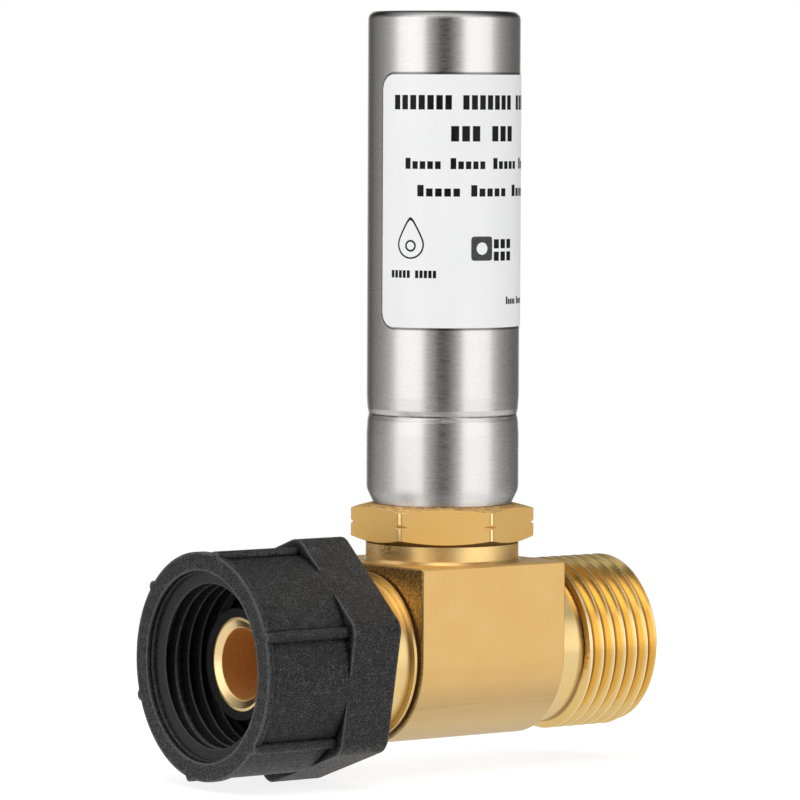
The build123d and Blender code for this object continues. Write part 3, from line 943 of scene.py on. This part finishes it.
def hexagon_brass():
    """The hexagon's ground flats, with painted highlights down the corner strips and on the edges, painted
    shade beside the strips, a painted brown reflection in blotches on the cones, and painted shade
    underneath, at the chamber joint and in creases.
    """
    finish, tree, shader, place = start_material("hexagon brass", 1.0)
    _, _, height = parts_of(tree, place)
    _, _, facing_z = facing(tree)
    centred = about(tree, place, BRANCH_CENTRE)
    radius = from_axis(tree, centred, ACROSS_BRANCH)
    across, along, _ = parts_of(tree, centred)
    turn = calculate(tree, "SUBTRACT", calculate(tree, "ARCTAN2", along, across), FIRST_CORNER_TURN)
    from_corner = calculate(tree, "MULTIPLY", calculate(tree, "PINGPONG", turn, HALF_FLAT_TURN), radius)
    normal, edge = soft_edge(tree, HEXAGON.edge)
    fine = grain(tree, place, COARSER)

    tone = spread(tree, grain(tree, place, 300, 120), -1, 1, 0, 0.3)
    flat = mixed_colour(tree, tone, BRASS_AMBER, BRASS_LIGHT)
    # Painted highlight down the middle of each corner strip, and painted shade along its sides
    on_strip = spread(tree, radius, *CORNER_STRIP, 0, 1)
    strip_middle = calculate(tree, "MULTIPLY", on_strip, spread(tree, from_corner, *STRIP_MIDDLE, 1, 0))
    strip_sides = calculate(tree, "MULTIPLY", on_strip, spread(tree, from_corner, *STRIP_SIDES, 0, 0.6))
    stripped = mixed_colour(tree, strip_middle, flat, BRASS_LIGHT)
    clean = mixed_colour(tree, strip_sides, stripped, BRASS_BROWN)
    # Painted reflection: brown blotches on the upward cones, strongest next to the chamber
    on_cone = spread(tree, facing_z, 0.4, 0.8, 0, 1)
    near_foot = spread(tree, radius, *CONE, 0.85, 0.4)
    blotched = spread(tree, mottle(tree, place, CONE_BLOTCH, 0.6), 0, 1, 0.3, 1)
    darkened = mixed_colour(
        tree, calculate(tree, "MULTIPLY", on_cone, near_foot, blotched), clean, BRASS_REFLECTED_BROWN)
    # Painted highlight on the edges
    bright = mixed_colour(tree, edge, darkened, BRASS_LIGHT)

    # Painted shade on the underside, at the chamber joint and in creases
    low_down = spread(tree, height, *HEXAGON_FOOT, 0, 0.85)
    below = calculate(tree, "MULTIPLY", spread(tree, facing_z, -0.3, -0.7, 0, 1), low_down)
    at_joint = spread(tree, radius, *CHAMBER_JOINT, 0.9, 0)
    shaded = calculate(tree, "MAXIMUM", below, at_joint, creases(tree, HEXAGON_CREASE, 0.25))
    shown = mixed_colour(tree, shaded, bright, BRASS_SHADOW)
    roughness = spread(tree, strip_middle, 0, 1, HEXAGON.dull, HEXAGON.smooth)
    end_material(tree, shader, shown, roughness, bumped(tree, fine, HEXAGON.depth, normal))
    return finish


def tailpiece_brass():
    """Bright turned brass outside, and a dull bore whose bright orange is painted light, standing in for
    light bouncing about inside it.
    """
    finish, tree, shader, place = start_material("tailpiece brass", 1.0)
    normal, _ = soft_edge(tree, TAILPIECE.edge)
    marks = turning(tree, place, FINE, turn=RUN_TURN)
    in_bore = spread(tree, from_axis(tree, place, ACROSS_RUN), *SPOUT_BORE, 1, 0)
    # Painted light: the bore is painted a bright saturated orange for the light that bounces about in it
    orange = mixed_colour(tree, mottle(tree, place, BORE_BLOTCH, 0.5), BRASS_ORANGE, BRASS_RED)
    colour = mixed_colour(tree, in_bore, BRASS_LIGHT, orange)
    roughness = spread(tree, in_bore, 0, 1, TAILPIECE.smooth, TAILPIECE.dull)
    end_material(tree, shader, colour, roughness, bumped(tree, marks, TAILPIECE.depth, normal))
    return finish


def painted_shadow_round_label(tree, place):
    """A painted shadow: a thin dark line on the steel all round the film, where its cut edge stands off.
    """
    across, along, height = parts_of(tree, about(tree, place, (branch_x, 0, label_middle_z)))
    turn = calculate(tree, "ARCTAN2", across, calculate(tree, "MULTIPLY", along, -1.0))
    sideways = calculate(tree, "MULTIPLY", turn, label_radius)
    past = tree.nodes.new("ShaderNodeCombineXYZ")
    for value, half, socket in (
            (sideways, LABEL_HALF_TURN * label_radius, past.inputs[0]),
            (height, label_half_height, past.inputs[1])):
        beyond = calculate(tree, "SUBTRACT", calculate(tree, "ABSOLUTE", value), half - LABEL_CORNER)
        wire(tree, calculate(tree, "MAXIMUM", beyond, 0.0), socket)
    _, from_corner = combine(tree, "DISTANCE", past.outputs[0], (0, 0, 0))
    return spread(tree, from_corner, *LABEL_SHADOW_BAND, 0.8, 0)


def brushed_steel():
    """Deep drawn stainless tube, brushed round and round, with turned rings on its flat end; painted shade
    in its rolled groove and on the rounding of its top, and a painted shadow line round the label.
    """
    finish, tree, shader, place = start_material(
        "brushed steel", 1.0, Anisotropic=0.75, Anisotropic_Rotation=0.25)
    tangent = tree.nodes.new("ShaderNodeTangent")
    tangent.direction_type = "RADIAL"
    tangent.axis = "Z"
    wire(tree, tangent.outputs["Tangent"], shader.inputs["Tangent"])
    _, _, height = parts_of(tree, place)
    _, _, facing_z = facing(tree)
    normal, _ = soft_edge(tree, STEEL.edge)

    fine = grain(tree, place, 700, 6400)
    broad = grain(tree, place, 220, 2400)
    specks = grain(tree, place, 3400, 5600, 1.0)
    streaks = calculate(
        tree, "ADD", calculate(tree, "MULTIPLY", fine, 0.7), calculate(tree, "MULTIPLY", broad, 0.15))
    rings = turning(tree, place, FINE, BRANCH_CENTRE)
    relief = spread(tree, spread(tree, facing_z, 0.6, 0.95, 0, 1), 0, 1, streaks, rings)
    tone = calculate(tree, "ADD", relief, calculate(tree, "MULTIPLY", specks, 0.25))
    plain = mixed_colour(tree, spread(tree, tone, -1, 1, 0, 1), STEEL_DULL, STEEL_BRIGHT)

    from_groove = how_far(tree, height, GROOVE_Z)
    beside = spread(tree, from_groove, *BESIDE_GROOVE, 1, 0)
    scratches = spread(tree, grain(tree, place, 420, 5200, 3.0), 0.15, 0.55, 0, 1)
    scraped = calculate(tree, "MULTIPLY", beside, scratches)
    light = mixed_colour(tree, scraped, plain, STEEL_SCRAPED)
    # Painted shade: uneven in the rolled groove, and on the rounding of the top
    in_groove = spread(tree, from_groove, *IN_GROOVE, 1, 0)
    groove_shade = calculate(tree, "MULTIPLY", in_groove, spread(tree, broad, -0.5, 0.5, 0.3, 1))
    turned_in = spread(tree, facing_z, 0.15, 0.5, 0, 0.8)
    at_corner = calculate(tree, "MULTIPLY", turned_in, spread(tree, facing_z, 0.93, 0.99, 1, 0))
    dark = calculate(tree, "MAXIMUM", groove_shade, at_corner, painted_shadow_round_label(tree, place))
    shown = mixed_colour(tree, dark, light, STEEL_DARK)

    rubbed = calculate(tree, "MULTIPLY", scraped, 0.16)
    roughness = calculate(tree, "ADD", spread(tree, tone, -1, 1, STEEL.smooth, STEEL.dull), rubbed)
    upright = tree.nodes.new("ShaderNodeCombineXYZ")
    wire(tree, 1.0, upright.inputs[0])
    wire(tree, 1.0, upright.inputs[1])
    kept = spread(tree, height, *CHAMBER_FOOT, FOOT_UPRIGHT, 1)
    wire(tree, kept, upright.inputs[2])
    levelled, _ = combine(tree, "MULTIPLY", normal, upright.outputs[0])
    end_material(tree, shader, shown, roughness, bumped(tree, relief, STEEL.depth, levelled))
    return finish


def charcoal_plastic():
    """Glass-filled black plastic with a fine moulded grain, a painted highlight on its edges and ribs, and
    painted shade, lightless and without gloss, in its creases.
    """
    finish, tree, shader, place = start_material("charcoal plastic", Specular_IOR_Level=0.4)
    normal, _ = soft_edge(tree, CHARCOAL.edge)
    fine = grain(tree, place, 5000, detail=0.0)
    cloud = grain(tree, place, 900, detail=3.0)
    speckle = calculate(tree, "ADD", fine, calculate(tree, "MULTIPLY", cloud, 0.3))
    plain = mixed_colour(tree, spread(tree, speckle, 0.0, 1.2, 0, 1), LIGHTLESS, CHARCOAL_FLECK)
    # Painted highlight on the nut's edges and ribs
    edge = place_group(tree, EDGE_HIGHLIGHT, Distance=NUT_HIGHLIGHT_REACH).outputs["Highlit"]
    highlit = calculate(tree, "MULTIPLY", edge, spread(tree, speckle, -1, 1, 0.4, 1.0))
    # Painted shade: creases are made lightless, and metallic so that they lose their gloss
    closed = creases(tree, NUT_CREASE, 1.0, 0.3)
    shown = mixed_colour(tree, closed, mixed_colour(tree, highlit, plain, CHARCOAL_HIGHLIGHT), LIGHTLESS)
    wire(tree, calculate(tree, "MULTIPLY", closed, 0.9), shader.inputs["Metallic"])
    roughness = spread(tree, speckle, -0.8, 0.8, CHARCOAL.dull, CHARCOAL.smooth)
    end_material(tree, shader, shown, roughness, bumped(tree, fine, CHARCOAL.depth, normal))
    return finish


def shaded_thread_plastic():
    """The nut's inner turns: its plastic painted near black as shade, a little greyer on the shoulder,
    with a painted highlight along the crests.
    """
    finish, tree, shader, place = start_material("thread plastic", Specular_IOR_Level=0.2)
    along, _, _ = parts_of(tree, place)
    radius = from_axis(tree, place, ACROSS_RUN)
    normal, _ = soft_edge(tree, THREAD.edge)
    fine = grain(tree, place, COARSER, detail=1.0)
    # Painted highlight along the crests; painted shade makes the rest near black, greyer on the shoulder
    crest = spread(tree, radius, *FEMALE_CREST, 1, 0)
    highlit = calculate(tree, "MULTIPLY", crest, spread(tree, fine, -1, 1, 0.3, 1))
    on_shoulder = spread(tree, along, *LEAD_END, 1, 0)
    dark = mixed_colour(tree, on_shoulder, THREAD_BLACK, THREAD_GREY)
    shown = mixed_colour(tree, highlit, dark, THREAD_HIGHLIGHT)
    roughness = spread(tree, on_shoulder, 0, 1, THREAD.dull, THREAD.smooth)
    end_material(tree, shader, shown, roughness, bumped(tree, fine, THREAD.depth, normal))
    return finish


def black_rubber():
    """Matte rubber with a little dust on it."""
    finish, tree, shader, place = start_material("black rubber", Specular_IOR_Level=0.3)
    normal, _ = soft_edge(tree, RUBBER.edge)
    fine = grain(tree, place, 2600, detail=3.0)
    dust = calculate(tree, "MULTIPLY", mottle(tree, place, RUBBER_BLOTCH, 0.3), 0.35)
    shown = mixed_colour(tree, dust, RUBBER_BLACK, RUBBER_DUSTY)
    roughness = spread(tree, fine, -1, 1, RUBBER.smooth, RUBBER.dull)
    end_material(tree, shader, shown, roughness, bumped(tree, fine, RUBBER.depth, normal))
    return finish


def white_plastic():
    """The piston's smooth ivory moulding."""
    finish, tree, shader, place = start_material("white plastic")
    normal, _ = soft_edge(tree, MOULDED.edge)
    cloud = grain(tree, place, 400)
    shown = mixed_colour(tree, spread(tree, cloud, -1, 1, 0, 1), IVORY_DULL, IVORY)
    roughness = spread(tree, cloud, -1, 1, MOULDED.smooth, MOULDED.dull)
    end_material(tree, shader, shown, roughness, bumped(tree, cloud, MOULDED.depth, normal))
    return finish


def label_film():
    """White film, a little uneven where it was rubbed down, with a painted grey shadow along its cut edge.
    """
    finish, tree, shader, place = start_material("label film")
    normal, edge = soft_edge(tree, FILM.edge)
    rubbed = grain(tree, place, 160, 60)
    fibre = grain(tree, place, 2400)
    plain = mixed_colour(tree, spread(tree, rubbed, -1, 1, 0, 1), FILM_WHITE, FILM_BRIGHT)
    shown = mixed_colour(tree, edge, plain, FILM_EDGE_SHADE)
    roughness = spread(tree, fibre, -1, 1, FILM.smooth, FILM.dull)
    relief = calculate(tree, "ADD", rubbed, calculate(tree, "MULTIPLY", fibre, 0.08))
    end_material(tree, shader, shown, roughness, bumped(tree, relief, FILM.depth, normal))
    return finish


def ink(name, shades):
    """Printing ink that is a little thin in places."""
    finish, tree, shader, place = start_material(name, Specular_IOR_Level=0.2)
    thin = mottle(tree, place, INK_BLOTCH, 0.5)
    shown = mixed_colour(tree, thin, *shades)
    end_material(tree, shader, shown, spread(tree, thin, 0, 1, *INK_ROUGHNESS))
    return finish


def set_ramp(ramp, stops):
    """Fills a colour ramp from (place, grey) pairs."""
    ramp.interpolation = "EASE"
    while len(ramp.elements) > 1:
        ramp.elements.remove(ramp.elements[-1])
    for index, (place, grey) in enumerate(stops):
        stop = ramp.elements[0] if index == 0 else ramp.elements.new(place)
        stop.position = place
        stop.color = (grey, grey, grey, 1)


# Light of the surroundings: degrees round from behind the camera, to the right, and brightness
LIGHT_ROUND = [
    (-180, 1.2), (-168, 1.25), (-160, 0.25), (-144, 0.13), (-125, 0.3), (-110, 0.4), (-95, 0.58),
    (-85, 0.86), (-70, 1.83), (-50, 1.94), (-34, 1.89), (-24, 0.68), (-14, 0.35), (-6, 0.03),
    (6, 0.03), (14, 0.3), (24, 0.73), (34, 1.89), (50, 1.9), (72, 1.75), (84, 0.85), (96, 0.5),
    (110, 0.33), (130, 0.21), (160, 0.2), (168, 1.25), (180, 1.2)]
MOST_LIGHT = 2.0
# Brightness by the sine of the elevation: of those surroundings, and of a light overhead
LIGHT_UP = [(-1.0, 0.7), (-0.3, 0.8), (0.0, 1.0), (0.35, 1.0), (0.7, 0.45), (1.0, 0.3)]
OVERHEAD = [(-1.0, 0.0), (0.55, 0.0), (0.75, 0.9), (0.9, 1.0), (1.0, 0.9)]
OVERHEAD_TURN = math.radians(-20)
OVERHEAD_ROUND = (-0.8, 0.9)
OVERHEAD_STRENGTH = (0.1, 2.9)
# High up behind the object the surroundings are dimmed, over this turn and this sine of elevation
BEHIND = (math.radians(125), math.radians(155))
RAISED = (0.12, 0.4)
MOST_DIMMED = 0.85


def make_studio():
    """White surroundings with a wide soft box on each side of the camera and one overhead."""
    world = bpy.data.worlds.new("studio")
    bpy.context.scene.world = world
    world.use_nodes = True
    tree = world.node_tree
    tree.nodes.clear()
    place = tree.nodes.new("ShaderNodeTexCoord")
    turned = tree.nodes.new("ShaderNodeVectorRotate")
    turned.rotation_type = "Z_AXIS"
    turned.inputs["Angle"].default_value = CAMERA_AZIMUTH
    wire(tree, place.outputs["Generated"], turned.inputs["Vector"])
    across, along, up = parts_of(tree, turned.outputs["Vector"])
    angle = calculate(tree, "ARCTAN2", across, calculate(tree, "MULTIPLY", along, -1.0))
    ramps = []
    for value, low, high, stops in (
            (angle, -math.pi, math.pi, [(0.5 + d / 360, light / MOST_LIGHT) for d, light in LIGHT_ROUND]),
            (up, -1, 1, [(0.5 + h / 2, light) for h, light in LIGHT_UP]),
            (up, -1, 1, [(0.5 + h / 2, light) for h, light in OVERHEAD])):
        ramp = tree.nodes.new("ShaderNodeValToRGB")
        set_ramp(ramp.color_ramp, stops)
        wire(tree, spread(tree, value, low, high, 0, 1), ramp.inputs["Fac"])
        ramps.append(ramp.outputs["Color"])
    around, height, overhead = ramps
    behind = spread(tree, calculate(tree, "ABSOLUTE", angle), *BEHIND, 0, 1)
    dimmed = calculate(tree, "MULTIPLY", behind, spread(tree, up, *RAISED, 0, MOST_DIMMED))
    left = calculate(tree, "SUBTRACT", 1.0, dimmed)
    light = calculate(tree, "MULTIPLY", around, height, MOST_LIGHT, left)
    from_front = calculate(tree, "COSINE", calculate(tree, "SUBTRACT", angle, OVERHEAD_TURN))
    strength = spread(tree, from_front, *OVERHEAD_ROUND, *OVERHEAD_STRENGTH)
    above = calculate(tree, "MULTIPLY", overhead, strength)
    lit = tree.nodes.new("ShaderNodeBackground")
    wire(tree, calculate(tree, "ADD", light, above), lit.inputs["Strength"])
    seen = tree.nodes.new("ShaderNodeBackground")
    seen.inputs["Color"].default_value = (1, 1, 1, 1)
    path = tree.nodes.new("ShaderNodeLightPath")
    chosen = tree.nodes.new("ShaderNodeMixShader")
    wire(tree, path.outputs["Is Camera Ray"], chosen.inputs["Fac"])
    wire(tree, lit.outputs["Background"], chosen.inputs[1])
    wire(tree, seen.outputs["Background"], chosen.inputs[2])
    output = tree.nodes.new("ShaderNodeOutputWorld")
    wire(tree, chosen.outputs["Shader"], output.inputs["Surface"])


def make_floor():
    """A plain pale floor that glows for the camera, and less in reflections, least of all in front."""
    bpy.ops.object.select_all(action="DESELECT")
    bpy.ops.mesh.primitive_circle_add(vertices=FLOOR_SIDES, radius=FLOOR_RADIUS, fill_type="NGON")
    floor = bpy.context.object
    floor.name = "floor"
    floor.location = (branch_x, 0, FLOOR_Z)
    finish, tree, shader, place = start_material("pale floor", Emission_Color=(1, 1, 1, 1))
    shader.inputs["Base Color"].default_value = FLOOR_GREY
    shader.inputs["Roughness"].default_value = 1.0
    shader.inputs["Specular IOR Level"].default_value = 0.0
    path = tree.nodes.new("ShaderNodeLightPath")
    turned = about(tree, place, (0, 0, 0), (0, 0, -CAMERA_AZIMUTH))
    across, along, _ = parts_of(tree, turned)
    forwards = calculate(tree, "MULTIPLY", along, -1.0)
    aside = calculate(tree, "ARCTAN2", calculate(tree, "ABSOLUTE", across), forwards)
    in_front = spread(tree, aside, *FRONT_SECTOR, *FRONT_GLOW)
    under = spread(tree, from_axis(tree, turned, ACROSS_BRANCH), *UNDER_OBJECT, UNDER_GLOW, 0)
    reflected = calculate(tree, "MAXIMUM", in_front, under)
    is_seen = path.outputs["Is Camera Ray"]
    seen = calculate(tree, "MULTIPLY", is_seen, FLOOR_SEEN)
    unseen = calculate(tree, "MULTIPLY", calculate(tree, "SUBTRACT", 1.0, is_seen), reflected)
    wire(tree, calculate(tree, "ADD", seen, unseen), shader.inputs["Emission Strength"])
    floor.data.materials.append(finish)


def dress(piece, finish):
    """Gives a piece one material in every slot."""
    if not piece.material_slots:
        piece.data.materials.append(finish)
    for slot in piece.material_slots:
        slot.material = finish


def dress_tee(piece, finishes):
    """Satin block, brass turned about the run, and the stained top boss, told apart by place."""
    dress(piece, finishes[0])
    for finish in finishes[1:]:
        piece.data.materials.append(finish)
    for face in piece.data.polygons:
        centre = face.center
        from_run = math.hypot(centre.y, centre.z)
        from_branch = math.hypot(centre.x - branch_x, centre.y)
        in_block = BLOCK_INLET_X - BLOCK_MARGIN < centre.x < BLOCK_OUTLET_X + BLOCK_MARGIN
        up_branch = centre.z > 0 and abs(face.normal.z) < LEVEL_NORMAL
        in_bore = from_run < BORE_LIMIT or from_branch < BORE_LIMIT and up_branch
        if centre.z > BLOCK_TOP_Z + TOP_MARGIN:
            face.material_index = STAINED_SLOT
        elif in_block and not in_bore:
            face.material_index = SATIN_SLOT
        else:
            face.material_index = TURNED_SLOT


bpy.context.scene.view_settings.view_transform = "Standard"
make_camera()
make_studio()
make_floor()

tee = make_tee()
dress_tee(tee, [satin_brass(), turned_brass(), stained_brass()])
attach(tee, "tee_assembly")
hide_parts("tee_body")

inlet_thread = make_inlet_thread()
dress(inlet_thread, shaded_thread_plastic())
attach(inlet_thread, "inlet_nut")

dark_print, grey_print = make_print()
dress(dark_print, ink("black ink", BLACK_INK))
dress(grey_print, ink("grey ink", GREY_INK))
for sheet in (dark_print, grey_print):
    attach(sheet, "tee_assembly")

rubber = black_rubber()
for node, finish in {
    "inlet_tailpiece": tailpiece_brass(),
    "inlet_washer": rubber,
    "swivel_nut": charcoal_plastic(),
    "hex_adapter": hexagon_brass(),
    "adapter_seal": rubber,
    "chamber_seal": rubber,
    "chamber_shell": brushed_steel(),
    "piston": white_plastic(),
    "piston_ring_upper": rubber,
    "piston_ring_lower": rubber,
    "label": label_film(),
}.items():
    dress(nodes[node], finish)
